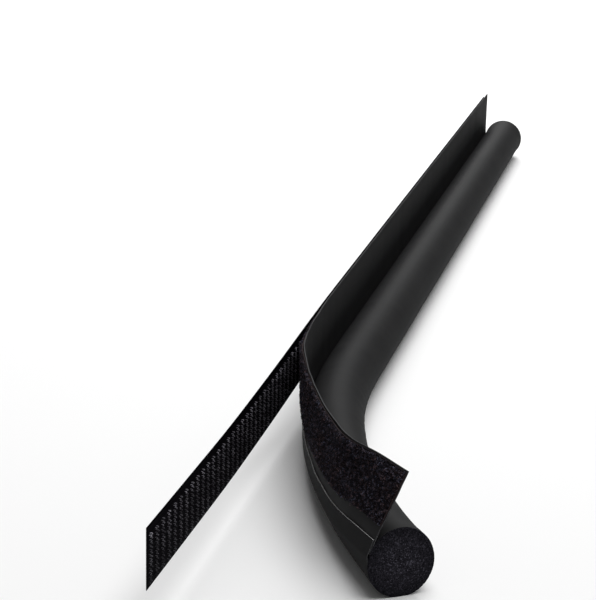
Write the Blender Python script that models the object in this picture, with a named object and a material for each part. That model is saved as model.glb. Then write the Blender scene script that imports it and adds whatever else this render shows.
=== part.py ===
"""Stick-on door-bottom draught excluder, with its near end peeled away from the hook tape.

Frame: the origin is the centre of the hook tape's sticky back, which lies against the door.
+X runs along the door to the strip's far end, +Y points into the door and +Z is up.
Lengths are metres and angles are degrees unless a name says otherwise.

The strip is one cross-section carried along a centreline that lies in the roll. Section
coordinates are (back, up) from the roll's centre: back points at the door, up is +Z.
"""
from collections import namedtuple
from math import cos, radians, sin, tan

import bpy
import numpy as np

MM = 0.001

# Lengths along the door
TAPE_LENGTH = 0.915          # hook tape, the width of a 36 inch door
BEND_START_X = -0.135        # where the strip starts to leave the door
BEND_LENGTH = 0.266          # centreline from there to the cut end
BEND_STEPS = 28

# Cloth and tape
SHEET = 1.0 * MM             # thickness of the cover, the pile tape and the hook tape
GAP = 0.3 * MM               # air between pieces that touch
LAP_GAP = 0.4 * MM           # air under the lapped edge of the cover

# Roll
ROLL_RADIUS = 14.5 * MM      # outside of the cover
FOAM_RADIUS = ROLL_RADIUS - SHEET - GAP
ROLL_FACET = 10              # degrees of the roll to each flat

# Flap, with heights above the roll's centre
FLAP_TOP = 36.7 * MM
LAP_TOP = 5.0 * MM           # raw edge of the cover's other end
LAP_ANGLE = 35               # degrees below the back where that end leaves the roll
LAP_FILLET = 2.5 * MM
PILE_BOTTOM = 11.5 * MM
PILE_TOP = 35.9 * MM

# Hook tape
HOOK_WIDTH = 26.0 * MM
HOOK_BOTTOM = 22.5 * MM      # above the floor
HOOK_STEPS = 24              # along the part that dips

# Layers from the roll's centre towards the door
RING = ROLL_RADIUS - SHEET / 2               # middle of the cover round the roll
FLAP = ROLL_RADIUS + GAP + SHEET / 2         # middle of the flap
LAP = FLAP + SHEET + LAP_GAP                 # middle of the lapped end
PILE = FLAP + SHEET + GAP                    # middle of the pile tape
HOOK = PILE + SHEET + GAP                    # middle of the hook tape
DOOR = HOOK + SHEET / 2                      # face of the door

FLOOR_Z = -(HOOK_BOTTOM + HOOK_WIDTH / 2)
ROLL_Y = -DOOR
ROLL_Z = FLOOR_Z + ROLL_RADIUS

# The bend: how sharply the centreline turns, in radians a metre, at each distance along it
Turn = namedtuple("Turn", "along rate")
TURNS = (
    Turn(along=0.000, rate=0.0),
    Turn(along=0.040, rate=2.0),
    Turn(along=0.080, rate=2.75),
    Turn(along=0.173, rate=2.05),
    Turn(along=0.266, rate=2.4),
)

# The twist: how far the section leans away from the door as the peeled flap flops out
Lean = namedtuple("Lean", "along angle")
LEANS = (
    Lean(along=0.000, angle=0.0),
    Lean(along=0.060, angle=0.0),
    Lean(along=0.095, angle=-1.8),
    Lean(along=0.120, angle=1.4),
    Lean(along=0.147, angle=3.8),
    Lean(along=0.192, angle=6.3),
    Lean(along=0.224, angle=10.0),
    Lean(along=0.245, angle=18.7),
    Lean(along=0.266, angle=25.0),
)

# The hook tape, stuck on by hand: how far it dips below a straight line at each place along it
Dip = namedtuple("Dip", "x depth")
DIPS = (
    Dip(x=-0.4575, depth=0.0 * MM),
    Dip(x=-0.400, depth=1.4 * MM),
    Dip(x=-0.340, depth=2.6 * MM),
    Dip(x=-0.280, depth=2.4 * MM),
    Dip(x=-0.150, depth=0.2 * MM),
    Dip(x=-0.050, depth=0.0 * MM),
    Dip(x=0.4575, depth=0.0 * MM),
)

# Colours, all near black
Finish = namedtuple("Finish", "color roughness")
FINISHES = {
    "coated_cloth": Finish(color=(0.020, 0.020, 0.021), roughness=0.50),
    "foam": Finish(color=(0.030, 0.030, 0.036), roughness=0.95),
    "loop_pile": Finish(color=(0.016, 0.014, 0.016), roughness=0.95),
    "hook_weave": Finish(color=(0.013, 0.013, 0.016), roughness=0.60),
}

Station = namedtuple("Station", "x y heading lean")


def make_material(name):
    finish = FINISHES[name]
    material = bpy.data.materials.new(name)
    material.use_nodes = True
    shader = material.node_tree.nodes["Principled BSDF"]
    shader.inputs["Base Color"].default_value = (*finish.color, 1.0)
    shader.inputs["Roughness"].default_value = finish.roughness
    material.diffuse_color = (*finish.color, 1.0)
    return material


def smooth_curve(places, values, at):
    """Value at a place, on a smooth curve through the values at the places."""
    slopes = np.gradient(values, places)
    row = int(np.clip(np.searchsorted(places, at) - 1, 0, len(places) - 2))
    step = places[row + 1] - places[row]
    t = (at - places[row]) / step
    start = (1 + 2 * t) * (1 - t) ** 2 * values[row] + t * (1 - t) ** 2 * step * slopes[row]
    end = t * t * (3 - 2 * t) * values[row + 1] + t * t * (t - 1) * step * slopes[row + 1]
    return start + end


def lean_at(along):
    return radians(smooth_curve([row.along for row in LEANS], [row.angle for row in LEANS], along))


def dip_at(x):
    return smooth_curve([row.x for row in DIPS], [row.depth for row in DIPS], x)


def strip_stations():
    """Stations of the strip from its far end to its cut end, turning and leaning in the bend."""
    stations = [Station(x=TAPE_LENGTH / 2, y=ROLL_Y, heading=0.0, lean=0.0)]
    distances = [row.along for row in TURNS]
    rates = [row.rate for row in TURNS]
    step = BEND_LENGTH / BEND_STEPS
    x, y, heading = BEND_START_X, ROLL_Y, 0.0
    stations.append(Station(x, y, heading, lean=0.0))
    for index in range(BEND_STEPS):
        turn = np.interp((index + 0.5) * step, distances, rates) * step
        middle = heading + turn / 2
        x -= cos(middle) * step
        y -= sin(middle) * step
        heading += turn
        stations.append(Station(x, y, heading, lean_at((index + 1) * step)))
    return stations


def place(point, station):
    """World position of a section point (back, up) at a station."""
    back, up = point
    leaned_back = back * cos(station.lean) - up * sin(station.lean)
    leaned_up = back * sin(station.lean) + up * cos(station.lean)
    x = station.x - leaned_back * sin(station.heading)
    y = station.y + leaned_back * cos(station.heading)
    return (x, y, ROLL_Z + leaned_up)


def arc(centre, radius, start, end, steps):
    """Points of an arc in the section, angles in degrees from the back."""
    angles = np.radians(np.linspace(start, end, steps + 1))
    return [(centre[0] + radius * cos(a), centre[1] + radius * sin(a)) for a in angles]


def cover_profile():
    """Middle line of the cover: down the flap, round the roll, and up over the flap's foot."""
    fold = (FLAP - RING) / 2
    flap = [(FLAP, FLAP_TOP), (FLAP, FLAP_TOP / 2)]
    hairpin = arc((RING + fold, 0.0), fold, 0, -180, 4)
    first = ROLL_FACET / 2
    last = 360 - LAP_ANGLE
    around = arc((0.0, 0.0), RING, first, last, round((last - first) / ROLL_FACET))
    leave_back, leave_up = around[-1]
    corner_up = leave_up + (LAP - leave_back) / tan(radians(LAP_ANGLE))
    fillet_up = corner_up + LAP_FILLET * tan(radians(LAP_ANGLE) / 2)
    fillet = arc((LAP - LAP_FILLET, fillet_up), LAP_FILLET, -LAP_ANGLE, 0, 3)
    return flap + hairpin + around + fillet + [(LAP, LAP_TOP)]


def link_object(name, mesh, material_name):
    mesh.materials.append(make_material(material_name))
    obj = bpy.data.objects.new(name, mesh)
    bpy.context.scene.collection.objects.link(obj)
    return obj


def make_sheet(name, rows, material_name):
    """A sheet of cloth or tape: a grid of points, given its thickness evenly to both sides."""
    width = len(rows[0])
    vertices = [point for row in rows for point in row]
    faces = []
    for i in range(len(rows) - 1):
        for j in range(width - 1):
            corner = i * width + j
            faces.append((corner, corner + 1, corner + width + 1, corner + width))
    mesh = bpy.data.meshes.new(name)
    mesh.from_pydata(vertices, [], faces)
    mesh.shade_smooth()
    mesh.set_sharp_from_angle(angle=radians(35))
    obj = link_object(name, mesh, material_name)
    solidify = obj.modifiers.new("Thickness", "SOLIDIFY")
    solidify.thickness = SHEET
    solidify.offset = 0.0
    solidify.use_even_offset = True
    solidify.use_quality_normals = True
    return obj


def make_roll(name, radius, stations, material_name):
    """A solid roll of foam along the stations, cut square at both ends."""
    count = 360 // ROLL_FACET
    outline = arc((0.0, 0.0), radius, ROLL_FACET / 2, 360 + ROLL_FACET / 2, count)[:-1]
    vertices = [place(point, station) for station in stations for point in outline]
    faces = [tuple(range(count))]
    for i in range(len(stations) - 1):
        for j in range(count):
            k = (j + 1) % count
            faces.append((i * count + k, i * count + j, (i + 1) * count + j, (i + 1) * count + k))
    last = (len(stations) - 1) * count
    faces.append(tuple(last + j for j in reversed(range(count))))
    mesh = bpy.data.meshes.new(name)
    mesh.from_pydata(vertices, [], faces)
    mesh.shade_smooth()
    mesh.set_sharp_from_angle(angle=radians(35))
    return link_object(name, mesh, material_name)


def make_foam_roll(stations):
    make_roll("foam_roll", FOAM_RADIUS, stations, "foam")


def make_cover(stations):
    profile = cover_profile()
    rows = [[place(point, station) for point in profile] for station in stations]
    make_sheet("cover", rows, "coated_cloth")


def make_pile_tape(stations):
    profile = [(PILE, PILE_TOP), (PILE, (PILE_TOP + PILE_BOTTOM) / 2), (PILE, PILE_BOTTOM)]
    rows = [[place(point, station) for point in profile] for station in stations]
    make_sheet("pile_tape", rows, "loop_pile")


def make_hook_tape():
    half_length = TAPE_LENGTH / 2
    half_width = HOOK_WIDTH / 2
    y = -SHEET / 2
    rows = []
    for x in (half_length, *np.linspace(DIPS[-2].x, -half_length, HOOK_STEPS + 1)):
        middle = -dip_at(x)
        rows.append([(x, y, middle + half_width), (x, y, middle - half_width)])
    make_sheet("hook_tape", rows, "hook_weave")


def main():
    for obj in list(bpy.data.objects):
        bpy.data.objects.remove(obj)
    stations = strip_stations()
    make_foam_roll(stations)
    make_cover(stations)
    make_pile_tape(stations)
    make_hook_tape()


main()
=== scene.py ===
"""Looks of a stick-on door-bottom draught excluder, with its near end peeled off the hook tape.

The strip is one cross-section carried along a centreline that lies in its foam roll. Section
points are (back, up) from the roll's centre: back points at the door and up is +Z.
Lengths are metres and angles are degrees unless a name says otherwise.
"""

from collections import namedtuple
from itertools import pairwise
from math import cos, pi, radians, sin, tan

import bpy
import numpy as np
from bpy.props import FloatProperty, FloatVectorProperty, IntProperty, PointerProperty
from mathutils import Matrix, Vector, noise


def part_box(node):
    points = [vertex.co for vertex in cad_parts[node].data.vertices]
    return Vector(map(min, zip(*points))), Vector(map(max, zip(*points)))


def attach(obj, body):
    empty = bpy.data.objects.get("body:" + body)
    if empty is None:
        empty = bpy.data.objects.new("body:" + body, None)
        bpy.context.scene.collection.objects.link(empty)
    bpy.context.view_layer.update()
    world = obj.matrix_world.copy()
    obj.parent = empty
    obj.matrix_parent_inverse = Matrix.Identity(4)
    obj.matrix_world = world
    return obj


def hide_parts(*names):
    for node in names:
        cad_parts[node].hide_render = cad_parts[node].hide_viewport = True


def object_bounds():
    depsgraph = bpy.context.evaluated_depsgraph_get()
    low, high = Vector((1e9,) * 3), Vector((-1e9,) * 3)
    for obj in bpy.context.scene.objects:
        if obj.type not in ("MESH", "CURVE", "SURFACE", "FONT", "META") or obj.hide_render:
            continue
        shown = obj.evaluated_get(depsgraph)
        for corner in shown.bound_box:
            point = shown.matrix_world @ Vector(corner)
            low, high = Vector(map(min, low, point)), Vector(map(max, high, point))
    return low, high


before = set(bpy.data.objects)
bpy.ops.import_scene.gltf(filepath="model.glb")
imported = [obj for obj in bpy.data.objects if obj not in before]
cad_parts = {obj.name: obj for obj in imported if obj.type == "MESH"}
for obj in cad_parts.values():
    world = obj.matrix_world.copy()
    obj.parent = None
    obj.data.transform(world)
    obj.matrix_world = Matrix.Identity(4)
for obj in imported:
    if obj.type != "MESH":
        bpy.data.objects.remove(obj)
CAD_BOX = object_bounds()
TAPE_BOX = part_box("hook_tape")

bl_info = {
    "name": "Draught Excluder",
    "version": (1, 0, 0),
    "blender": (4, 5, 0),
    "location": "View3D > Sidebar > Draught",
    "description": "Foam roll in a coated cover, with pile and hook tape, peeled at one end",
    "category": "Object",
}

MM = 0.001

TAPE_END = TAPE_BOX[1][0]  # far end of the hook tape and of the strip
FLOOR_Z = CAD_BOX[0][2]
ROLL_RADIUS = 14.5 * MM
ROLL_Y = -18.4 * MM
ROLL_Z = FLOOR_Z + ROLL_RADIUS

# The bend: how sharply the centreline turns, in radians a metre, at each distance along it
BEND_START_X = -0.135
BEND_LENGTH = 0.266
Turn = namedtuple("Turn", "along rate")
TURNS = (
    Turn(along=0.000, rate=0.0),
    Turn(along=0.040, rate=2.0),
    Turn(along=0.080, rate=2.75),
    Turn(along=0.173, rate=2.05),
    Turn(along=0.266, rate=2.4),
)

# The twist: how far the section leans away from the door as the peeled flap flops out
Lean = namedtuple("Lean", "along angle")
LEANS = (
    Lean(along=0.000, angle=0.0),
    Lean(along=0.060, angle=0.0),
    Lean(along=0.095, angle=-1.8),
    Lean(along=0.120, angle=1.4),
    Lean(along=0.147, angle=3.8),
    Lean(along=0.192, angle=6.3),
    Lean(along=0.224, angle=10.0),
    Lean(along=0.245, angle=18.7),
    Lean(along=0.266, angle=25.0),
)

# The hook tape, stuck on by hand: how far it dips below a straight line at each place along it
HOOK_WIDTH = 26.0 * MM
Dip = namedtuple("Dip", "x depth")
DIPS = (
    Dip(x=-0.4575, depth=0.0 * MM),
    Dip(x=-0.400, depth=1.4 * MM),
    Dip(x=-0.340, depth=2.6 * MM),
    Dip(x=-0.280, depth=2.4 * MM),
    Dip(x=-0.150, depth=0.2 * MM),
    Dip(x=-0.050, depth=0.0 * MM),
    Dip(x=0.4575, depth=0.0 * MM),
)

# Layers of the section, from the roll's centre towards the door
FLAP_FOOT_BACK = 15.0 * MM  # flap close to the roll
FLAP_BACK = 15.3 * MM  # flap under the pile tape
LAP_BACK = 15.6 * MM
FOLD_ANGLE = 3  # below the back where the flap folds into the roll
LAP_ANGLE = 34  # below the back where the lapped end leaves the roll
LAP_FILLET = 2.5 * MM
PILE_BACK = 16.0 * MM

SLANT_REACH = 22 * MM  # length of strip that the slanted near cut shears
FLOOR_GAP = 0.02 * MM  # nothing is pressed closer to the floor
COVER_WEAVE = 0.42 * MM  # pitch of the cover's threads
WEB_WARP = 0.62 * MM  # pitch of the hook tape's threads along it
WEB_PICK = 0.55 * MM  # pitch of the hook tape's threads across it
PAPER_SQUARE = 6 * MM  # squares that the backing paper leaves in the adhesive

# Uneven curves of the cloth: the sizes of their waves and the seed of their phases
Wave = namedtuple("Wave", "shortest longest seed")
RIPPLE = Wave(15 * MM, 70 * MM, seed=3)
BILLOW = Wave(60 * MM, 210 * MM, seed=5)
SWAY = Wave(45 * MM, 190 * MM, seed=8)
GAPE = Wave(25 * MM, 120 * MM, seed=11)
CREASE = Wave(6 * MM, 17 * MM, seed=21)
FRAY = Wave(7 * MM, 60 * MM, seed=31)
WAVE_COUNT = 7
WAVE_LIFT = 1.6  # brings the sum of the waves up to about 1

# A pile loop's thread: sideways and across in shares of its width, up in shares of its height
LOOP_CURVE = (
    (-0.50, 0.00, 0.00),
    (-0.75, 0.00, 1.33),
    (0.75, 0.50, 1.33),
    (0.50, 0.25, 0.00),
)

LOOP_WIDTH = 0.85  # share of a loop's height
LOOP_TILT = 0.75  # how far a loop leans at most, in radians
LOOP_SIZES = (0.55, 1.1)
PILE_CLOSED = 38 * MM  # up to here past the bend's start the pile is still pressed
PILE_OPEN = 70 * MM  # and from here it stands up
PILE_PRESSED = 0.3  # share of its height that a pressed loop keeps

# A hook's wire in shares of its reach: away from its twin, out of the web, and up
HOOK_CURVE = (
    (0.00, 0.00, 0.00),
    (0.00, 1.20, 0.45),
    (0.25, 1.50, -0.45),
    (0.20, 0.55, -0.55),
)

HOOK_TURN = (0.16, 0.20, 0.14)  # how far a hook is turned about each axis at most, in radians
HOOK_SIZES = (0.88, 1.10)
PAIR_GAP = 1.3 * MM

FACE, REVERSE, CUT, LAP = 0, 1, 2, 3  # material slots of a sheet

Path = namedtuple("Path", "x y heading lean along peel")


# Settings


def length(name, description, default):
    return FloatProperty(
        name=name, description=description, default=default, min=0.0,
        subtype="DISTANCE", unit="LENGTH", precision=5,
    )


def color(name, description, default):
    return FloatVectorProperty(
        name=name, description=description, default=default, size=3, min=0.0, max=1.0, subtype="COLOR",
    )


def number(name, description, default, unit="NONE"):
    return FloatProperty(name=name, description=description, default=default, unit=unit)


class CoverSettings(bpy.types.PropertyGroup):
    cloth: length("Cloth", "Thickness of the coated cloth", 0.45 * MM)
    flap_top: length("Flap Top", "Height of the flap's raw edge above the roll's centre", 36.7 * MM)
    lap_top: length("Lap Top", "Height of the lapped raw edge above the roll's centre", 5.0 * MM)
    ripple: length("Ripple", "How far the cloth wanders from a flat sheet", 0.12 * MM)
    swell: length("Swell", "How far the cut foam pushes the cover's mouth out", 0.4 * MM)
    slant: FloatProperty(
        name="Slant", description="Slant of the near cut, its top leaning back", default=radians(5),
        subtype="ANGLE", unit="ROTATION",
    )
    face: color("Face", "Colour of the coated face", (0.0170, 0.0170, 0.0175))
    cut: color("Raw Edge", "Colour of the cut edges", (0.060, 0.060, 0.063))
    # The lapped end's near-white raw edge is a painted highlight: the upward raw edge catching light from
    # above.
    lap: color("Lap Edge", "Colour of the lapped end's raw edge", (0.700, 0.700, 0.705))


class FoamSettings(bpy.types.PropertyGroup):
    radius: length("Radius", "Radius of the foam inside the cover", 13.75 * MM)
    mouth: length("Mouth", "Radius where the cut foam swells out of the cover", 15.0 * MM)
    proud: length("Proud", "How far the cut foam stands out of the cover", 0.8 * MM)
    cell: length("Cell", "Size of the foam's cells", 0.8 * MM)
    skin: color("Cell Walls", "Colour of the cell walls", (0.045, 0.043, 0.054))
    pore: color("Pores", "Colour inside the cells", (0.0012, 0.0012, 0.0020))


class PileSettings(bpy.types.PropertyGroup):
    bottom: length("Bottom", "Height of the tape's lower edge above the roll's centre", 11.5 * MM)
    top: length("Top", "Height of the tape's upper edge above the roll's centre", 35.9 * MM)
    cloth: length("Backing", "Thickness of the backing cloth", 0.6 * MM)
    loop: length("Loop Height", "Height of a loop of the open pile", 1.35 * MM)
    thread: length("Thread", "Radius of the pile's thread", 0.12 * MM)
    loops: IntProperty(name="Loops", description="Loops in each third of the pile", default=6900, min=100)
    backing: color("Backing", "Colour of the backing cloth", (0.0015, 0.0012, 0.0016))
    warm: color("Warm Thread", "Colour of the brown threads", (0.300, 0.200, 0.210))
    cool: color("Cool Thread", "Colour of the blue-grey threads", (0.250, 0.260, 0.370))


class HookSettings(bpy.types.PropertyGroup):
    web: length("Web", "Thickness of the woven web", 0.7 * MM)
    row_pitch: length("Row Pitch", "Distance between rows of hooks across the tape", 1.95 * MM)
    pair_pitch: length("Pair Pitch", "Distance between pairs of hooks along the tape", 7.9 * MM)
    reach: length("Reach", "How far a hook stands out of the web", 0.9 * MM)
    wire: length("Wire", "Radius of a hook's nylon wire", 0.12 * MM)
    top_selvedge: length("Top Selvedge", "Plain band along the upper edge", 2.4 * MM)
    low_selvedge: length("Low Selvedge", "Plain band along the lower edge", 1.7 * MM)
    web_color: color("Web Colour", "Colour of the woven web", (0.0022, 0.0019, 0.0028))
    # The hooks' pale colour is a painted highlight: it stands for the glints on their wire.
    hook_glint_color: color("Hook Colour", "Colour of the hooks", (0.170, 0.165, 0.185))
    glue: color("Adhesive", "Colour of the adhesive film on the back", (0.030, 0.030, 0.033))


class StageSettings(bpy.types.PropertyGroup):
    floor: color("Floor", "Colour of the floor", (0.87, 0.87, 0.87))
    day: number("Day", "Strength of the broad light from above", 1.9)
    key: number("Key", "Power of the large overhead light", 7.0, unit="POWER")
    end: number("End", "Power of the light beyond the far end", 30.0, unit="POWER")
    sky: number("Sky", "Strength of the light from all around", 0.18)
    backdrop: number("Backdrop", "Brightness of the backdrop", 0.67)
    lens: number("Lens", "Focal length", 112.1, unit="CAMERA")


SETTINGS = {
    "excluder_cover": CoverSettings,
    "excluder_foam": FoamSettings,
    "excluder_pile": PileSettings,
    "excluder_hook": HookSettings,
    "excluder_stage": StageSettings,
}


# Nodes


class Socket:
    """An output of a node that takes part in Python sums, which add Math nodes."""

    def __init__(self, net, socket):
        self.net = net
        self.socket = socket

    def math(self, operation, *values):
        return self.net.node("ShaderNodeMath", {"operation": operation}, dict(enumerate(values)))

    def __add__(self, other):
        return self.math("ADD", self, other)

    def __radd__(self, other):
        return self.math("ADD", other, self)

    def __sub__(self, other):
        return self.math("SUBTRACT", self, other)

    def __rsub__(self, other):
        return self.math("SUBTRACT", other, self)

    def __mul__(self, other):
        return self.math("MULTIPLY", self, other)

    def __rmul__(self, other):
        return self.math("MULTIPLY", other, self)

    def power(self, exponent):
        return self.math("POWER", self, exponent)

    def magnitude(self):
        return self.math("ABSOLUTE", self)

    def fraction(self):
        return self.math("FRACT", self)

    def wave(self, pitch):
        """A wave between -1 and 1 that repeats at each pitch of this distance."""
        return self.math("SINE", self * (2 * pi / pitch))

    def fade(self, low, high):
        """0 at low and 1 at high, eased in between."""
        return self.net.node(
            "ShaderNodeMapRange", {"interpolation_type": "SMOOTHSTEP"},
            {"Value": self, "From Min": low, "From Max": high},
        )


class Net:
    """A node tree, shader or geometry, that nodes are added to."""

    def __init__(self, tree):
        self.tree = tree

    def node(self, kind, settings=None, values=None, output=0):
        made = self.tree.nodes.new(kind)
        for name, value in (settings or {}).items():
            setattr(made, name, value)
        for key, value in (values or {}).items():
            self.feed(made.inputs[key], value)
        return Socket(self, made.outputs[output])

    def feed(self, target, value):
        if isinstance(value, Socket):
            self.tree.links.new(value.socket, target)
        else:
            target.default_value = value

    def mix(self, factor, first, second):
        return self.node("ShaderNodeMix", {"data_type": "RGBA"}, {0: factor, 6: first, 7: second}, output=2)

    def scaled(self, vector, scale):
        return self.node("ShaderNodeVectorMath", {"operation": "MULTIPLY"}, {0: vector, 1: scale})


def rgba(values):
    return (*values, 1.0)


def shades(values, factor):
    """The same colour, lighter or darker."""
    return rgba([min(1.0, channel * factor) for channel in values])


class Finish(Net):
    """A Principled material whose textures are added as nodes."""

    def __init__(self, name, **constants):
        self.material = bpy.data.materials.new(name)
        self.material.use_nodes = True
        super().__init__(self.material.node_tree)
        self.shader = self.tree.nodes["Principled BSDF"]
        for key, value in constants.items():
            self.shader.inputs[key.replace("_", " ")].default_value = value

    def set(self, name, value):
        self.feed(self.shader.inputs[name], value)

    def paint(self, factor, first, second):
        self.set("Base Color", self.mix(factor, first, second))

    def bump(self, height, strength, distance):
        values = {"Height": height, "Strength": strength, "Distance": distance}
        self.set("Normal", self.node("ShaderNodeBump", None, values))

    def object_space(self):
        return self.node("ShaderNodeTexCoord", output="Object")

    def cloth_space(self):
        """The sheet's own map, and its two parts: metres along the sheet and across it."""
        cloth = self.node("ShaderNodeUVMap", {"uv_map": "Cloth"})
        along = self.node("ShaderNodeSeparateXYZ", None, {"Vector": cloth})
        return cloth, along, Socket(self, along.socket.node.outputs["Y"])

    def attribute(self, name):
        return self.node("ShaderNodeAttribute", {"attribute_name": name}, output="Fac")

    def grain(self, vector, scale, detail=2.0):
        """Soft uneven patches, about as many to a metre as the scale says."""
        values = {"Vector": vector, "Scale": scale, "Detail": detail}
        return self.node("ShaderNodeTexNoise", None, values, output="Fac")

    def walls(self, vector, scale):
        """Distance to the nearest wall between cells."""
        values = {"Vector": vector, "Scale": scale}
        return self.node("ShaderNodeTexVoronoi", {"feature": "DISTANCE_TO_EDGE"}, values)

    def specks(self, vector, scale):
        """A random number between 0 and 1 for each cell."""
        values = {"Vector": vector, "Scale": scale}
        tint = self.node("ShaderNodeTexVoronoi", {"feature": "F1"}, values, output="Color")
        return self.node("ShaderNodeSeparateColor", None, {"Color": tint}, output="Red")


# The strip's path


def smooth_curve(places, values, at):
    """Values at places, on a smooth curve through the given rows."""
    places, values = np.array(places), np.array(values)
    slopes = np.gradient(values, places)
    row = np.clip(np.searchsorted(places, at) - 1, 0, len(places) - 2)
    step = places[row + 1] - places[row]
    t = (at - places[row]) / step
    start = (1 + 2 * t) * (1 - t) ** 2 * values[row] + t * (1 - t) ** 2 * step * slopes[row]
    end = t * t * (3 - 2 * t) * values[row + 1] + t * t * (t - 1) * step * slopes[row + 1]
    return start + end


def lean_at(along):
    return np.radians(smooth_curve([row.along for row in LEANS], [row.angle for row in LEANS], along))


def dip_at(x):
    return smooth_curve([row.x for row in DIPS], [row.depth for row in DIPS], x)


def strip_path(straight_steps, bend_steps):
    """The centreline from its far end to its cut end."""
    straight = TAPE_END - BEND_START_X
    run = np.linspace(0.0, straight, straight_steps, endpoint=False)
    peel = np.linspace(0.0, BEND_LENGTH, bend_steps + 1)
    step = peel[1]
    middles = (peel[1:] + peel[:-1]) / 2
    turns = np.interp(middles, [row.along for row in TURNS], [row.rate for row in TURNS]) * step
    heading = np.concatenate(([0.0], np.cumsum(turns)))
    facing = heading[:-1] + turns / 2
    x = BEND_START_X - np.concatenate(([0.0], np.cumsum(np.cos(facing)))) * step
    y = ROLL_Y - np.concatenate(([0.0], np.cumsum(np.sin(facing)))) * step
    zeros = np.zeros_like(run)
    return Path(
        x=np.concatenate((TAPE_END - run, x)),
        y=np.concatenate((zeros + ROLL_Y, y)),
        heading=np.concatenate((zeros, heading)),
        lean=np.concatenate((zeros, lean_at(peel))),
        along=np.concatenate((run, straight + peel)),
        peel=np.concatenate((run - straight, peel)),
    )


def cut_path(path, keep):
    return Path(*(column[keep] for column in path))


def carry(section, path):
    """World positions of section points (back, up), one row for each station."""
    section = np.asarray(section)
    rows = np.broadcast_to(section, (len(path.x), *section.shape[-2:]))
    back, up = rows[..., 0], rows[..., 1]
    lean, heading = path.lean[:, None], path.heading[:, None]
    out = back * np.cos(lean) - up * np.sin(lean)
    rise = back * np.sin(lean) + up * np.cos(lean)
    x = path.x[:, None] - out * np.sin(heading)
    y = path.y[:, None] + out * np.cos(heading)
    return np.stack((x, y, ROLL_Z + rise), axis=-1)


def push_along(points, path, distance):
    """Moves each point along the strip, towards its cut end where the distance is positive."""
    points[..., 0] -= distance * np.cos(path.heading)[:, None]
    points[..., 1] -= distance * np.sin(path.heading)[:, None]


def near_slant(cover, path, up):
    """How far the slanted near cut moves points at a height on the roll."""
    return -tan(cover.slant) * up * ease(path.peel, BEND_LENGTH - SLANT_REACH, BEND_LENGTH)[:, None]


def lift_off_floor(points, gap=FLOOR_GAP):
    """Flattens what would touch the floor."""
    points[..., 2] = np.maximum(points[..., 2], FLOOR_Z + gap)


def facing_side(section):
    """Unit normals of section lines, on the coated side of the cloth."""
    run = np.gradient(section, axis=-2)
    normal = np.stack((run[..., 1], -run[..., 0]), axis=-1)
    return normal / np.linalg.norm(normal, axis=-1, keepdims=True)


def arc(centre, radius, start, end, steps):
    """Points of an arc in the section, angles in degrees from the back."""
    angles = np.radians(np.linspace(start, end, steps + 1))
    return np.stack((centre[0] + radius * np.cos(angles), centre[1] + radius * np.sin(angles)), axis=-1)


def wander(distance, wave):
    """A smooth uneven curve between about -1 and 1 along a distance."""
    random = np.random.default_rng(wave.seed)
    lengths = np.geomspace(wave.shortest, wave.longest, WAVE_COUNT)
    phases = random.uniform(0, 2 * pi, WAVE_COUNT)
    weights = random.uniform(0.5, 1.0, WAVE_COUNT)
    total = sum(w * np.sin(2 * pi * distance / size + p) for w, size, p in zip(weights, lengths, phases))
    return total / weights.sum() * WAVE_LIFT


def ease(values, low, high):
    """0 below low and 1 above high, eased in between."""
    t = np.clip((values - low) / (high - low), 0, 1)
    return t * t * (3 - 2 * t)


# Meshes


def put(name, data):
    made = bpy.data.objects.new(name, data)
    bpy.context.scene.collection.objects.link(made)
    return made


def link(name, mesh, materials, sharp=45):
    """A smooth-shaded piece; edges sharper than an angle stay crisp."""
    for material in materials:
        mesh.materials.append(material)
    mesh.shade_smooth()
    mesh.set_sharp_from_angle(angle=radians(sharp))
    return put(name, mesh)


def grid_faces(rows, columns, first=0, flip=False):
    """Quads of a grid of vertices. Unflipped, they face along (down the rows) x (along a row)."""
    i, j = np.meshgrid(np.arange(rows - 1), np.arange(columns - 1), indexing="ij")
    corner = first + i * columns + j
    quad = [corner, corner + columns, corner + columns + 1, corner + 1]
    if flip:
        quad.reverse()
    return np.stack([part.ravel() for part in quad], axis=-1)


def strip_of_quads(one, other):
    """Quads between two lines of vertices of the same length."""
    return np.stack((one[:-1], other[:-1], other[1:], one[1:]), axis=-1)


def sheet_mesh(name, face, reverse, along, across, last_edge=CUT):
    """A closed thin sheet between two grids of points, with a map in metres along and across it."""
    rows, columns = face.shape[:2]
    count = rows * columns
    points = np.concatenate((face.reshape(-1, 3), reverse.reshape(-1, 3)))
    front = np.arange(count).reshape(rows, columns)
    back = front + count
    parts = (
        (FACE, grid_faces(rows, columns)),
        (REVERSE, grid_faces(rows, columns, first=count, flip=True)),
        (CUT, strip_of_quads(front[:, 0], back[:, 0])),
        (last_edge, strip_of_quads(back[:, -1], front[:, -1])),
        (CUT, strip_of_quads(back[0], front[0])),
        (CUT, strip_of_quads(front[-1], back[-1])),
    )
    quads = np.concatenate([part for _, part in parts])
    slots = np.concatenate([np.full(len(part), slot) for slot, part in parts])
    mesh = bpy.data.meshes.new(name)
    mesh.from_pydata(points.tolist(), [], quads.tolist())
    mesh.polygons.foreach_set("material_index", slots.astype(np.int32))
    places = np.stack(np.broadcast_arrays(along[:, None], across[None, :]), axis=-1).reshape(-1, 2)
    places = np.concatenate((places, places))
    corners = np.empty(len(mesh.loops), dtype=np.int32)
    mesh.loops.foreach_get("vertex_index", corners)
    cloth = mesh.uv_layers.new(name="Cloth")
    cloth.data.foreach_set("uv", places[corners].astype(np.float32).ravel())
    mesh.validate()
    return mesh


def tag(mesh, name, values):
    """Gives each point of a mesh a number that its finish reads."""
    mesh.attributes.new(name, "FLOAT", "POINT").data.foreach_set("value", values.astype(np.float32))


def line_lengths(line):
    steps = np.linalg.norm(np.diff(line, axis=0), axis=-1)
    return np.concatenate(([0.0], np.cumsum(steps)))


# Cover


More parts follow.
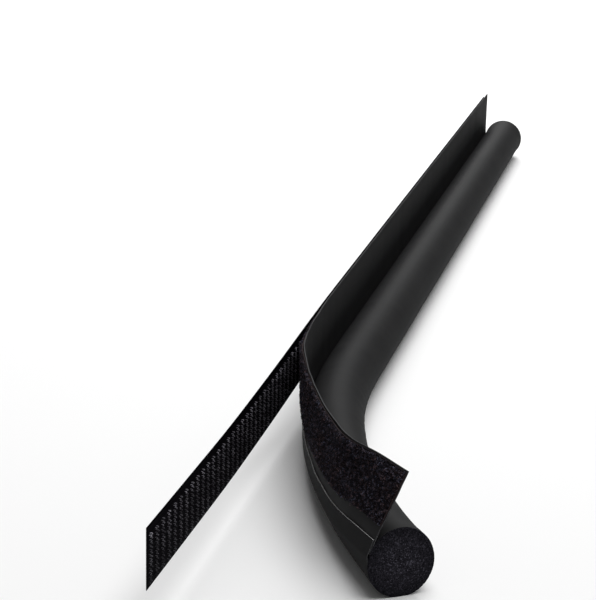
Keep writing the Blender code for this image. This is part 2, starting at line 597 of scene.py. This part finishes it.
def cover_line(cover):
    """Middle line of the cover: down the flap, once round the roll, and up behind the flap's foot."""
    ring = ROLL_RADIUS - cover.cloth / 2
    around = arc((0.0, 0.0), ring, -FOLD_ANGLE, 360 - LAP_ANGLE, 84)
    fold = (FLAP_FOOT_BACK - around[0, 0]) / 2
    foot = around[0, 1]
    rise = np.linspace(cover.flap_top, foot, 28)
    step_back = (FLAP_BACK - FLAP_FOOT_BACK) * ease(rise, 2 * MM, 10 * MM)
    flap = np.stack((FLAP_FOOT_BACK + step_back, rise), axis=-1)
    hairpin = arc((FLAP_FOOT_BACK - fold, foot), fold, 0, -180, 10)
    leave_back, leave_up = around[-1]
    corner_up = leave_up + (LAP_BACK - leave_back) / tan(radians(LAP_ANGLE))
    fillet_up = corner_up + LAP_FILLET * tan(radians(LAP_ANGLE) / 2)
    fillet = arc((LAP_BACK - LAP_FILLET, fillet_up), LAP_FILLET, -LAP_ANGLE, 0, 6)
    lap = np.stack((np.full(8, LAP_BACK), np.linspace(fillet_up, cover.lap_top, 8)), axis=-1)
    return np.concatenate((flap, hairpin[1:], around[1:], fillet, lap[1:]))


def cover_finish(cover, name, painted_light_lift):
    """Smooth coated cloth: a fine woven grain under the coating, soft sheen and faint streaks."""
    finish = Finish(name, Specular_IOR_Level=0.013)
    cloth, along, across = finish.cloth_space()
    cloud = finish.grain(cloth, 55.0, detail=3.0)
    streak = finish.grain(finish.scaled(cloth, (150.0, 9.0, 1.0)), 1.0, detail=3.0)
    fine = finish.grain(cloth, 4200.0, detail=1.0)
    weave = along.wave(COVER_WEAVE) * across.wave(COVER_WEAVE)
    tone = cloud * 0.30 + streak * 0.35 + fine * 0.20
    # The lift lightens the whole colour; above 1 it is painted light.
    finish.paint(tone, shades(cover.face, painted_light_lift * 0.55), shades(cover.face, painted_light_lift * 1.75))
    finish.set("Roughness", 0.54 + cloud * 0.08 + streak * 0.06)
    finish.bump(weave * 0.35 + fine * 0.65 + streak * 0.5, 0.16, 0.08 * MM)
    return finish.material


def cut_finish(name, tint):
    """Raw cut edge of cloth, with loose fibre ends."""
    finish = Finish(name, Specular_IOR_Level=0.05)
    fibre = finish.grain(finish.object_space(), 2600.0)
    finish.paint(fibre.fade(0.35, 0.7), shades(tint, 0.45), shades(tint, 1.5))
    finish.set("Roughness", 0.70 + fibre * 0.2)
    finish.bump(fibre, 0.5, 0.1 * MM)
    return finish.material


class EXCLUDER_OT_cover(bpy.types.Operator):
    """Wrap the coated cover round the roll, with its flap up the door and its end lapped behind"""

    bl_idname = "excluder.cover"
    bl_label = "Cover"

    fray = 0.22 * MM
    crease = 0.16 * MM
    gape = 0.6 * MM
    inside = 0.62  # share of the cloth's width that lies on the inside of the bend
    inside_spread = 9 * MM

    # Where an effect fades in across the cloth, or along the peel
    flap_foot = (0.0, 9 * MM)
    raw_edge = (-12 * MM, 6 * MM)
    roll_start = (39 * MM, 46 * MM)
    roll_end = (8 * MM, 16 * MM)
    comes_free = (10 * MM, 70 * MM)
    creases_start = (45 * MM, 90 * MM)
    creases_end = (-250 * MM, -200 * MM)
    mouth = 12 * MM

    def execute(self, context):
        cover = context.scene.excluder_cover
        line = cover_line(cover)
        across = line_lengths(line)
        path = strip_path(90, 110)
        section = line + self.offset(cover, path, across, line[:, 1])[..., None] * facing_side(line)
        half = facing_side(section) * cover.cloth / 2
        face = carry(section + half, path)
        reverse = carry(section - half, path)
        ends = np.zeros(len(path.along))
        ends[0] = ends[-1] = 1.0
        frayed = self.fray * ends[:, None] * wander(across, FRAY)
        below_flap = ease(across, cover.flap_top - 3 * MM, cover.flap_top + MM)
        for side in (face, reverse):
            lift_off_floor(side)
            push_along(side, path, frayed + near_slant(cover, path, line[:, 1]) * below_flap)
        mesh = sheet_mesh("cover_cloth", face, reverse, path.along, across, last_edge=LAP)
        materials = (
            cover_finish(cover, "coated_face", 1.0),
            # The reverse is 1.7 times lighter than the face: painted light on the cloth's reverse.
            cover_finish(cover, "coated_reverse", 1.7),
            cut_finish("cover_raw_edge", cover.cut),
            # The lap edge's near-white colour is a painted highlight.
            cut_finish("lap_raw_edge", cover.lap),
        )
        piece = link("cover_cloth", mesh, materials)
        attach(piece, "root")
        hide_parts("cover")
        return {"FINISHED"}

    def offset(self, cover, path, across, up):
        """How far the cloth stands off its drawn line, at each station and each point across."""
        left = across[-1] - across
        on_flap = ease(cover.flap_top - across, *self.flap_foot) * ease(across, *self.raw_edge)
        on_roll = ease(across, *self.roll_start) * ease(left, *self.roll_end)
        free = ease(path.peel, *self.comes_free)
        ripple = 1.6 * cover.ripple * wander(path.along, RIPPLE)
        billow = 5 * cover.ripple * free * wander(path.along, BILLOW)
        sway = 0.8 * cover.ripple * wander(path.along, SWAY)
        gape = self.gape * free * (0.35 + 0.45 * wander(path.along, GAPE))
        near_mouth = ease(path.peel, BEND_LENGTH - self.mouth, BEND_LENGTH)
        swell = cover.swell * (near_mouth + ease(-path.along, -self.mouth, 0.0))
        flap = ripple[:, None] * on_flap + billow[:, None] * (on_flap * up / cover.flap_top)
        roll = (sway + swell)[:, None] * on_roll + self.wrinkles(path, across) * on_roll
        return flap + roll + np.clip(gape, 0.0, None)[:, None] * ease(left, 5 * MM, 0.0)

    def wrinkles(self, path, across):
        """Small creases on the inside of the bend, where the cover has too much length."""
        inside = np.exp(-(((across - across.max() * self.inside) / self.inside_spread) ** 2))
        bent = ease(path.peel, *self.creases_start) * ease(-path.peel, *self.creases_end)
        return self.crease * (bent * wander(path.along, CREASE))[:, None] * inside


# Foam


def foam_finish(foam):
    """Fine-celled foam: pale cell walls round dark pores, with painted shade that darkens the cut face towards
    its rim.
    """
    finish = Finish("cut_foam", Specular_IOR_Level=0.02)
    place = finish.object_space()
    wall = finish.walls(place, 1 / foam.cell)
    small = finish.walls(place, 2.3 / foam.cell)
    cloud = finish.grain(place, 420.0, detail=3.0)
    pit = wall.fade(0.02, 0.26) * 0.6 + small.fade(0.02, 0.26) * 0.4
    speck = finish.specks(place, 1.7 / foam.cell).fade(0.70, 0.95)
    base = finish.mix(pit * 0.85 + cloud * 0.30, rgba(foam.skin), rgba(foam.pore))
    # The rim number carries painted shade: towards the rim the face darkens and its pale specks thin out.
    rim = finish.attribute("rim")
    lit = finish.mix(speck * (0.75 - rim * 0.45), base, shades(foam.skin, 3.3))
    finish.paint(rim.power(2.0) * 0.55, lit, rgba(foam.pore))
    finish.set("Roughness", 0.86 + cloud * 0.1)
    finish.bump(1 - pit, 0.8, 0.25 * MM)
    return finish.material


class EXCLUDER_OT_foam(bpy.types.Operator):
    """Make the foam roll, swollen and fine-celled at its two cut ends"""

    bl_idname = "excluder.foam"
    bl_label = "Foam Roll"

    sides = 150
    rings = 54
    rim_low = 0.12  # shares of the proud height, at the rim's two ends
    rim_high = 0.92
    dome = 0.30  # and added in the middle of the face
    hub = 0.25 * MM

    def execute(self, context):
        foam = context.scene.excluder_foam
        cover = context.scene.excluder_cover
        path = strip_path(30, 70)
        outline = arc((0.0, 0.0), 1.0, 0, 360, self.sides)[:-1]
        body = carry(outline * foam.radius, path)
        lift_off_floor(body, gap=0.3 * MM)
        push_along(body, path, near_slant(cover, path, outline[:, 1] * foam.radius))
        far = self.cut_face(foam, outline, cut_path(path, slice(0, 1)), -1, 0.0)
        near = self.cut_face(foam, outline, cut_path(path, slice(-1, None)), 1, cover.slant)
        rings = np.concatenate((far[::-1], body, near))
        count, sides = rings.shape[:2]
        points = rings.reshape(-1, 3).tolist()
        closed = np.arange(count * sides).reshape(count, sides)
        closed = np.concatenate((closed, closed[:, :1]), axis=1)
        quads = [strip_of_quads(after, before) for before, after in pairwise(closed)]
        faces = np.concatenate(quads).tolist()
        for end, turn in ((0, False), (-1, True)):
            hub = len(points)
            points.append(rings[end].mean(axis=0).tolist())
            for one, other in pairwise(closed[end].tolist()):
                faces.append((hub, other, one) if turn else (hub, one, other))
        mesh = bpy.data.meshes.new("foam_core")
        mesh.from_pydata(points, [], faces)
        mesh.validate()
        rim_shade = np.ones((count, sides))
        face_share = np.linspace(0, 1, len(far) - 1)[:, None]
        rim_shade[: len(far) - 1] = face_share
        rim_shade[count - len(far) + 1:] = face_share[::-1]
        # The rim number is 0 in the middle of a cut face and 1 at its rim and along the roll, and paints shade
        # towards the rim.
        tag(mesh, "rim", np.concatenate((rim_shade.ravel(), (0.0, 0.0))))
        piece = link("foam_core", mesh, [foam_finish(foam)], sharp=120)
        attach(piece, "root")
        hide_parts("foam_roll")
        return {"FINISHED"}

    def cut_face(self, foam, outline, station, direction, slant):
        """Rings of a cut end, from the cover's mouth over a rounded rim to the middle of the face."""
        swell = foam.mouth - foam.proud
        rims = [(foam.mouth * 0.985, 0.15 * MM)]
        for angle in np.radians(np.linspace(0, 90, 7)[1:]):
            rise = self.rim_low + (self.rim_high - self.rim_low) * sin(angle)
            rims.append((swell + foam.proud * cos(angle) ** 0.8, foam.proud * rise))
        inner = np.linspace(swell, self.hub, self.rings)[1:]
        rims.extend(zip(inner, foam.proud * (self.rim_high + self.dome * (1 - (inner / swell) ** 2))))
        travel = np.array((-cos(station.heading[0]), -sin(station.heading[0]), 0.0)) * direction
        rows = []
        for radius, out in rims:
            leaning = out - tan(slant) * outline[:, 1:] * radius
            row = carry(outline * radius, station)[0] + travel * leaning
            lift_off_floor(row)
            depth = np.array([self.pitting(point, foam.cell) for point in row])
            rows.append(row + travel * depth[:, None])
        return np.array(rows)

    def pitting(self, point, cell):
        """How far the cut surface stands at a point: cell walls up, pores down."""
        near, second = noise.voronoi(Vector(point) / cell)[0][:2]
        rough = noise.noise(Vector(point) / (0.45 * cell))
        return (0.10 - 0.60 * min(1.0, (second - near) * 2.2)) * 0.55 * MM + rough * 0.14 * MM


# What the tapes carry


class Growth(Net):
    """A Geometry Nodes tree with named inputs, run on a mesh and then made plain."""

    TYPES = {
        "Geometry": "NodeSocketGeometry",
        "Material": "NodeSocketMaterial",
        "Seed": "NodeSocketInt",
    }

    def __init__(self, name, inputs):
        super().__init__(bpy.data.node_groups.new(name, "GeometryNodeTree"))
        self.tree.interface.new_socket("Geometry", in_out="OUTPUT", socket_type="NodeSocketGeometry")
        self.keys = {}
        for label in ("Geometry", *inputs):
            kind = self.TYPES.get(label, "NodeSocketFloat")
            made = self.tree.interface.new_socket(label, in_out="INPUT", socket_type=kind)
            self.keys[label] = made.identifier
        self.inputs = self.tree.nodes.new("NodeGroupInput")
        self.values = inputs

    def value(self, label):
        return Socket(self, self.inputs.outputs[label])

    def finish(self, geometry):
        real = self.node("GeometryNodeRealizeInstances", None, {"Geometry": geometry})
        coated = self.node(
            "GeometryNodeSetMaterial", None, {"Geometry": real, "Material": self.value("Material")},
        )
        self.tree.links.new(coated.socket, self.tree.nodes.new("NodeGroupOutput").inputs[0])

    def point(self, x, y, z):
        return self.node("ShaderNodeCombineXYZ", None, {"X": x, "Y": y, "Z": z})

    def tube(self, points, steps, radius, sides, capped):
        """A thread from the first point to the last, drawn towards the two between."""
        names = ("Start", "Start Handle", "End Handle", "End")
        curve = self.node(
            "GeometryNodeCurvePrimitiveBezierSegment", {"mode": "POSITION"},
            {"Resolution": steps, **dict(zip(names, points))},
        )
        ring = self.node("GeometryNodeCurvePrimitiveCircle", None, {"Resolution": sides, "Radius": radius})
        return self.node(
            "GeometryNodeCurveToMesh", None, {"Curve": curve, "Profile Curve": ring, "Fill Caps": capped},
        )

    def random(self, kind, low, high, seed):
        """A random value for each point; low and high are floats or vectors."""
        settings = {"data_type": kind}
        first, second, output = (0, 1, 0) if kind == "FLOAT_VECTOR" else (2, 3, 1)
        return self.node("FunctionNodeRandomValue", settings, {first: low, second: high, "Seed": seed}, output)

    def place(self, points, instance, rotation, scale, shade, seed):
        """Instances on points, each with a random number from 0 to 1 that their finish reads."""
        placed = self.node(
            "GeometryNodeInstanceOnPoints", None,
            {"Points": points, "Instance": instance, "Rotation": rotation, "Scale": scale},
        )
        return self.node(
            "GeometryNodeStoreNamedAttribute", {"data_type": "FLOAT", "domain": "INSTANCE"},
            {"Geometry": placed, "Name": shade, "Value": self.random("FLOAT", 0.0, 1.0, seed)},
        )

    def grow(self, name, mesh):
        """The tree's result on a mesh, as a plain piece."""
        base = put(name + "_base", mesh)
        modifier = base.modifiers.new("Growth", "NODES")
        modifier.node_group = self.tree
        for label, value in self.values.items():
            modifier[self.keys[label]] = value
        grown = base.evaluated_get(bpy.context.evaluated_depsgraph_get())
        plain = bpy.data.meshes.new_from_object(grown)
        plain.name = name
        base.modifiers.remove(modifier)
        bpy.data.objects.remove(base)
        return put(name, plain)


def plain_grid(name, points):
    mesh = bpy.data.meshes.new(name)
    mesh.from_pydata(points.reshape(-1, 3).tolist(), [], grid_faces(*points.shape[:2]).tolist())
    return mesh


def tape_edges(low, high, rim, steps):
    """Heights across a tape, closer together near its two edges."""
    inner = np.linspace(high - rim, low + rim, steps)
    return np.concatenate(([high, high - rim * 0.35], inner, [low + rim * 0.35, low]))


# Pile tape


def pile_backing_finish(pile):
    """Knitted backing: a close dark ground with fine brown and blue-grey specks."""
    finish = Finish("pile_backing", Specular_IOR_Level=0.05)
    place = finish.object_space()
    cloud = finish.grain(place, 260.0, detail=3.0)
    fuzz = finish.grain(place, 3200.0)
    tint = finish.mix(cloud.fade(0.35, 0.65), rgba(pile.warm), rgba(pile.cool))
    lit = finish.specks(place, 1900.0).fade(0.45, 1.0)
    finish.paint(lit.power(2.0) * 0.25, rgba(pile.backing), tint)
    finish.set("Roughness", 0.88 + fuzz * 0.1)
    finish.bump(fuzz * 0.6 + lit * 0.6, 0.9, 0.25 * MM)
    return finish.material


def pile_thread_finish(pile):
    """Nylon thread in near-black browns, violets and blue-greys, a different one for each loop."""
    finish = Finish("pile_thread", Specular_IOR_Level=0.04)
    shade = finish.attribute("thread_shade")
    place = finish.object_space()
    patch = finish.grain(place, 70.0)
    tuft = finish.grain(place, 900.0).fade(0.40, 0.66)
    tint = finish.mix((shade * 0.7 + patch * 0.6 - 0.15).fade(0.2, 0.8), rgba(pile.warm), rgba(pile.cool))
    bright = (shade * 7.31).fraction()
    dark = finish.mix(0.965, tint, rgba(pile.backing))
    finish.paint(bright.power(3.0) * (0.12 + tuft * 0.88), dark, tint)
    finish.set("Roughness", 0.50 + bright * 0.2)
    return finish.material


def pile_growth(pile, ground, seed):
    """Loops of thread scattered over the pile's ground, leaning every way."""
    area = sum(polygon.area for polygon in ground.polygons)
    growth = Growth("pile_loops", {
        "Closed At": BEND_START_X - PILE_CLOSED,
        "Open At": BEND_START_X - PILE_OPEN,
        "Loops per Area": pile.loops / area,
        "Loop Height": pile.loop,
        "Loop Width": LOOP_WIDTH * pile.loop,
        "Thread": pile.thread,
        "Seed": seed,
        "Material": pile_thread_finish(pile),
    })
    seed_value = growth.value("Seed")
    width, height = growth.value("Loop Width"), growth.value("Loop Height")
    scatter = growth.node(
        "GeometryNodeDistributePointsOnFaces", {"distribute_method": "RANDOM"},
        {"Mesh": growth.value("Geometry"), "Density": growth.value("Loops per Area"), "Seed": seed_value},
        output="Points",
    )
    upright = Socket(growth, scatter.socket.node.outputs["Rotation"])
    points = [growth.point(width * x, width * y, height * z) for x, y, z in LOOP_CURVE]
    thread = growth.tube(points, 4, growth.value("Thread"), 3, False)
    tilt = growth.random(
        "FLOAT_VECTOR", (-LOOP_TILT, -LOOP_TILT, 0.0), (LOOP_TILT, LOOP_TILT, 2 * pi), seed_value,
    )
    turn = growth.node("FunctionNodeEulerToRotation", None, {"Euler": tilt})
    stance = growth.node(
        "FunctionNodeRotateRotation", {"rotation_space": "LOCAL"}, {"Rotation": upright, "Rotate By": turn},
    )
    position = growth.node("GeometryNodeInputPosition")
    away = growth.node("ShaderNodeSeparateXYZ", None, {"Vector": position}, output="X")
    raised = growth.node(
        "ShaderNodeMapRange", {"interpolation_type": "SMOOTHSTEP"},
        {
            "Value": away, "From Min": growth.value("Closed At"), "From Max": growth.value("Open At"),
            "To Min": PILE_PRESSED,
        },
    )
    size = growth.random("FLOAT", *LOOP_SIZES, seed_value + 7.0) * raised
    growth.finish(growth.place(scatter, thread, stance, size, "thread_shade", seed_value + 13.0))
    return growth


class EXCLUDER_OT_pile(bpy.types.Operator):
    """Lay the pile tape on the flap's door side and raise its loops where it is peeled off"""

    bl_idname = "excluder.pile"
    bl_label = "Pile Tape"

    bare_foot = 12 * MM  # the first of the peel, hidden behind the hook tape
    margin = 0.4 * MM  # no loops this close to the tape's edges
    bare_end = 0.8 * MM  # nor this close to its upper edge at the near cut

    def execute(self, context):
        pile = context.scene.excluder_pile
        path = strip_path(120, 130)
        heights = tape_edges(pile.bottom, pile.top, 0.9 * MM, 20)
        edge = np.minimum(pile.top - heights, heights - pile.bottom)
        rounding = 0.30 * pile.cloth * ease(edge, 0.8 * MM, 0.0)
        reverse = np.stack((np.full(len(heights), PILE_BACK - pile.cloth / 2), heights), axis=-1)
        face = np.stack((PILE_BACK + pile.cloth / 2 - rounding, heights), axis=-1)
        mesh = sheet_mesh(
            "pile_tape_cloth", carry(reverse, path), carry(face, path), path.along, pile.top - heights,
        )
        backing = pile_backing_finish(pile)
        raw_edge = cut_finish("pile_raw_edge", shades(pile.warm, 0.10)[:3])
        tape = link("pile_tape_cloth", mesh, [backing, backing, raw_edge])
        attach(tape, "root")
        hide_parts("pile_tape")
        thirds = self.raise_loops(pile)
        return {"FINISHED"}

    def raise_loops(self, pile):
        """Three pieces of open pile, one after the other along the peeled part."""
        path = strip_path(30, 133)
        third = (BEND_LENGTH - self.bare_foot) / 3
        pieces = []
        for seed, end in enumerate(("far", "middle", "near")):
            low = self.bare_foot + third * seed
            reach = (path.peel >= low - MM) & (path.peel <= low + third + MM)
            stretch = cut_path(path, reach)
            # The rows run down the strip and the columns up the tape, so that the ground faces the door.
            bare = self.bare_end * ease(stretch.peel, BEND_LENGTH - 60 * MM, BEND_LENGTH)[:, None]
            share = np.linspace(0, 1, 12)
            height = pile.bottom + self.margin + share * (pile.top - pile.bottom - 2 * self.margin - bare)
            depth = np.full(height.shape, PILE_BACK + pile.cloth / 2 - 0.05 * MM)
            points = carry(np.stack((depth, height), axis=-1), stretch)
            ground = plain_grid("ground", points)
            loops = pile_growth(pile, ground, seed + 41).grow("pile_loops_" + end, ground)
            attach(loops, "root")
            pieces.append(loops)
        return pieces


# Hook tape


def web_finish(hook):
    """Woven nylon ribbon: fine ribs along it and close picks across it."""
    finish = Finish("hook_web", Specular_IOR_Level=0.004)
    cloth, along, across = finish.cloth_space()
    fine = finish.grain(cloth, 2400.0)
    cloud = finish.grain(cloth, 120.0, detail=3.0)
    pick = across.wave(WEB_WARP) * along.wave(WEB_PICK) * 0.5 + 0.5
    tone = pick * 0.4 + fine * 0.3 + cloud * 0.3
    finish.paint(tone, shades(hook.web_color, 0.5), shades(hook.web_color, 2.0))
    finish.set("Roughness", 0.50 + fine * 0.2)
    finish.bump(pick * 0.8 + fine * 0.4, 0.55, 0.12 * MM)
    return finish.material


def glue_finish(hook):
    """Pressure-sensitive film on the tape's back, with the faint squares of its backing paper."""
    finish = Finish("adhesive_film", Specular_IOR_Level=0.5)
    cloth, along, across = finish.cloth_space()
    squares = [way.wave(PAPER_SQUARE).magnitude().fade(0.02, 0.10) for way in (along, across)]
    line = 1 - squares[0] * squares[1]
    smear = finish.grain(cloth, 180.0, detail=4.0)
    finish.paint(line * 0.5 + smear * 0.3, rgba(hook.glue), shades(hook.glue, 2.2))
    finish.set("Roughness", 0.22 + smear * 0.25)
    finish.bump(smear * 0.7 - line * 0.3, 0.4, 0.1 * MM)
    return finish.material


def hook_finish(hook):
    """Nylon wire, a little different from hook to hook, its pale colour a painted highlight for glints, with
    painted light from above strongest in the top rows.
    """
    finish = Finish("hook_wire", Specular_IOR_Level=0.03)
    shade = finish.attribute("hook_shade")
    row = finish.attribute("painted_top_light")
    # lit is painted light from above, by row: weakest on the lowest row, strongest on the top row.
    lit = 0.26 + row.fade(0.0, 1.0) * 0.20 + row.fade(0.85, 1.0) * 0.54
    # The pale hook colour is a painted highlight for the wire's glints; each hook's random shade sets how much
    # of it shows.
    finish.paint((0.30 + shade * 0.70) * lit, rgba(hook.web_color), shades(hook.hook_glint_color, 3.0))
    finish.set("Roughness", 0.28 + shade * 0.15)
    return finish.material


def hook_growth(hook, seed):
    """Pairs of hooks on a grid over the web, each turned and sized a little differently."""
    growth = Growth("hook_rows", {
        "Reach": hook.reach,
        "Wire": hook.wire,
        "Pair Gap": PAIR_GAP,
        "Seed": seed,
        "Material": hook_finish(hook),
    })
    reach = growth.value("Reach")
    gap = growth.value("Pair Gap")
    hooks = []
    for side in (-1, 1):
        points = [
            growth.point(gap * (side / 2) + reach * (side * apart), reach * -out, reach * (side / 4 + up))
            for apart, out, up in HOOK_CURVE
        ]
        hooks.append(growth.tube(points, 6, growth.value("Wire"), 4, True))
    join = growth.tree.nodes.new("GeometryNodeJoinGeometry")
    for made in hooks:
        growth.tree.links.new(made.socket, join.inputs[0])
    seed_value = growth.value("Seed")
    turn = growth.random("FLOAT_VECTOR", [-angle for angle in HOOK_TURN], HOOK_TURN, seed_value)
    size = growth.random("FLOAT", *HOOK_SIZES, seed_value + 3.0)
    pair = Socket(growth, join.outputs[0])
    feet = growth.value("Geometry")
    growth.finish(growth.place(feet, pair, turn, size, "hook_shade", seed_value + 5.0))
    return growth


class EXCLUDER_OT_hooks(bpy.types.Operator):
    """Stretch the hook tape along the door: a ribbed web with plain selvedges and rows of hooks"""

    bl_idname = "excluder.hooks"
    bl_label = "Hook Tape"

    first_pair = 2.2 * MM  # from the tape's bare end
    last_pair = 2.0 * MM  # from its far end, at least
    row_shift = 0.25 * MM  # every other row is this much to one side

    def execute(self, context):
        hook = context.scene.excluder_hook
        (left, _, _), (right, door, top) = TAPE_BOX
        bottom = top - HOOK_WIDTH
        along = np.linspace(right, left, 100)
        heights = np.linspace(top, bottom, 97)
        first_row = top - hook.top_selvedge - hook.row_pitch / 2
        rows = int((first_row - bottom - hook.low_selvedge) / hook.row_pitch) + 1
        row_heights = first_row - hook.row_pitch * np.arange(rows)
        front = door - hook.web + self.ribs(heights, row_heights, hook, top, bottom)
        front_face = self.tape_side(along, front, heights)
        back_face = self.tape_side(along, np.full(len(heights), door), heights)
        mesh = sheet_mesh("hook_tape_web", front_face, back_face, right - along, top - heights)
        finishes = [web_finish(hook), glue_finish(hook), cut_finish("web_raw_edge", hook.web_color)]
        web = link("hook_tape_web", mesh, finishes)
        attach(web, "root")
        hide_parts("hook_tape")
        pairs = np.arange(left + self.first_pair, right - self.last_pair, hook.pair_pitch)
        spots = []
        for row, height in enumerate(row_heights):
            shift = self.row_shift * (row % 2)
            spots.extend((x + shift, door - hook.web, height - dip) for x, dip in zip(pairs, dip_at(pairs)))
        feet = bpy.data.meshes.new("hook_feet")
        feet.from_pydata(spots, [], [])
        # Each row's number, 1 on the top row and 0 on the lowest, carries painted light from above onto the
        # hooks.
        tag(feet, "painted_top_light", np.repeat(np.linspace(1, 0, rows), len(pairs)))
        hooks = hook_growth(hook, seed=61).grow("hook_rows", feet)
        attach(hooks, "root")
        return {"FINISHED"}

    def ribs(self, heights, row_heights, hook, top, bottom):
        """How far the web's front is set back: a rib under each row of hooks and thin selvedges."""
        nearest = np.abs(heights[:, None] - row_heights).min(axis=1)
        rib = 0.12 * MM * ease(nearest, 0.5 * MM, 0.05 * MM)
        edge = np.minimum(top - heights, heights - bottom)
        return 0.16 * MM - rib + 0.25 * MM * ease(edge, 0.5 * MM, 0.0)

    def tape_side(self, along, depth, heights):
        sunk = heights - dip_at(along)[:, None]
        return np.stack(np.broadcast_arrays(along[:, None], depth, sunk), axis=-1)


# Stage


CAMERA_PLACE = (-1.0788, -0.2006, 0.3393)  # height above the floor
CAMERA_YAW = 13.02  # from +X towards +Y
CAMERA_PITCH = 17.02  # below level
CAMERA_ROLL = 1.37
FLOOR_REACH = 7.0

Lamp = namedtuple("Lamp", "place size")
OVERHEAD = Lamp(place=(0.35, -0.15, 1.45), size=(1.5, 1.1))
FAR_END = Lamp(place=(2.3, 0.25, 1.0), size=(0.9, 0.6))
LAMP_TARGET = Vector((0.0, -0.02, 0.0))
DAY_SPREAD = 50
DAY_TILT = (10, 8)


def aim(yaw, pitch, roll):
    """Rotation of a camera that looks along a yaw and pitch, rolled about its view."""
    level = Vector((cos(radians(yaw)), sin(radians(yaw)), 0))
    ahead = level * cos(radians(pitch)) - Vector((0, 0, sin(radians(pitch))))
    right = ahead.cross(Vector((0, 0, 1))).normalized()
    up = right.cross(ahead)
    tilted_right = right * cos(radians(roll)) + up * sin(radians(roll))
    tilted_up = up * cos(radians(roll)) - right * sin(radians(roll))
    return Matrix((tilted_right, tilted_up, -ahead)).transposed()


def area_light(name, lamp, power):
    soft = bpy.data.lights.new(name, "AREA")
    soft.shape = "RECTANGLE"
    soft.size, soft.size_y = lamp.size
    soft.energy = power
    light = put(name, soft)
    light.location = lamp.place
    light.rotation_mode = "QUATERNION"
    light.visible_camera = False
    light.rotation_quaternion = (LAMP_TARGET - Vector(lamp.place)).to_track_quat("-Z", "Y")


class EXCLUDER_OT_stage(bpy.types.Operator):
    """Set up the pale floor, soft studio light and the camera"""

    bl_idname = "excluder.stage"
    bl_label = "Stage"

    def execute(self, context):
        stage = context.scene.excluder_stage
        finish = Finish("pale_floor", Specular_IOR_Level=0.2, Roughness=0.75)
        cloud = finish.grain(finish.object_space(), 3.0)
        finish.paint(cloud, shades(stage.floor, 0.985), shades(stage.floor, 1.01))
        mesh = bpy.data.meshes.new("floor")
        corners = ((-1, -1), (1, -1), (1, 1), (-1, 1))
        points = [(x * FLOOR_REACH, y * FLOOR_REACH, FLOOR_Z) for x, y in corners]
        mesh.from_pydata(points, [], [(0, 1, 2, 3)])
        floor = link("floor", mesh, [finish.material])
        area_light("overhead", OVERHEAD, stage.key)
        area_light("far_end", FAR_END, stage.end)
        broad = bpy.data.lights.new("day", "SUN")
        broad.energy = stage.day
        broad.angle = radians(DAY_SPREAD)
        put("day", broad).rotation_euler = (radians(DAY_TILT[0]), radians(DAY_TILT[1]), 0.0)
        world = bpy.data.worlds.new("studio")
        world.use_nodes = True
        air = Net(world.node_tree)
        seen = air.node("ShaderNodeLightPath", output="Is Camera Ray")
        sky = world.node_tree.nodes["Background"]
        sky.inputs["Color"].default_value = (1.0, 1.0, 1.0, 1.0)
        air.feed(sky.inputs["Strength"], stage.sky + seen * (stage.backdrop - stage.sky))
        context.scene.world = world
        context.scene.view_settings.view_transform = "Standard"
        view = bpy.data.cameras.new("view")
        view.lens = stage.lens
        view.sensor_width = 36.0
        view.clip_start = 0.05
        view.clip_end = 50.0
        camera = put("view", view)
        camera.rotation_mode = "QUATERNION"
        camera.rotation_quaternion = aim(CAMERA_YAW, CAMERA_PITCH, CAMERA_ROLL).to_quaternion()
        x, y, height = CAMERA_PLACE
        camera.location = (x, y, FLOOR_Z + height)
        context.scene.camera = camera
        return {"FINISHED"}


# Add-on


OPERATORS = (EXCLUDER_OT_foam, EXCLUDER_OT_cover, EXCLUDER_OT_pile, EXCLUDER_OT_hooks, EXCLUDER_OT_stage)


class EXCLUDER_PT_pieces(bpy.types.Panel):
    """The pieces of the draught excluder and their sizes and colours"""

    bl_idname = "EXCLUDER_PT_pieces"
    bl_label = "Draught Excluder"
    bl_space_type = "VIEW_3D"
    bl_region_type = "UI"
    bl_category = "Draught"

    def draw(self, context):
        for operator in OPERATORS:
            self.layout.operator(operator.bl_idname)
        for name, group in SETTINGS.items():
            box = self.layout.box()
            for key in group.__annotations__:
                box.prop(getattr(context.scene, name), key)


CLASSES = (*SETTINGS.values(), *OPERATORS, EXCLUDER_PT_pieces)


def register():
    for item in CLASSES:
        bpy.utils.register_class(item)
    for name, group in SETTINGS.items():
        setattr(bpy.types.Scene, name, PointerProperty(type=group))


def unregister():
    for name in SETTINGS:
        delattr(bpy.types.Scene, name)
    for item in reversed(CLASSES):
        bpy.utils.unregister_class(item)


def main():
    register()
    for operator in OPERATORS:
        group, name = operator.bl_idname.split(".")
        getattr(getattr(bpy.ops, group), name)()


if __name__ == "__main__":
    main()
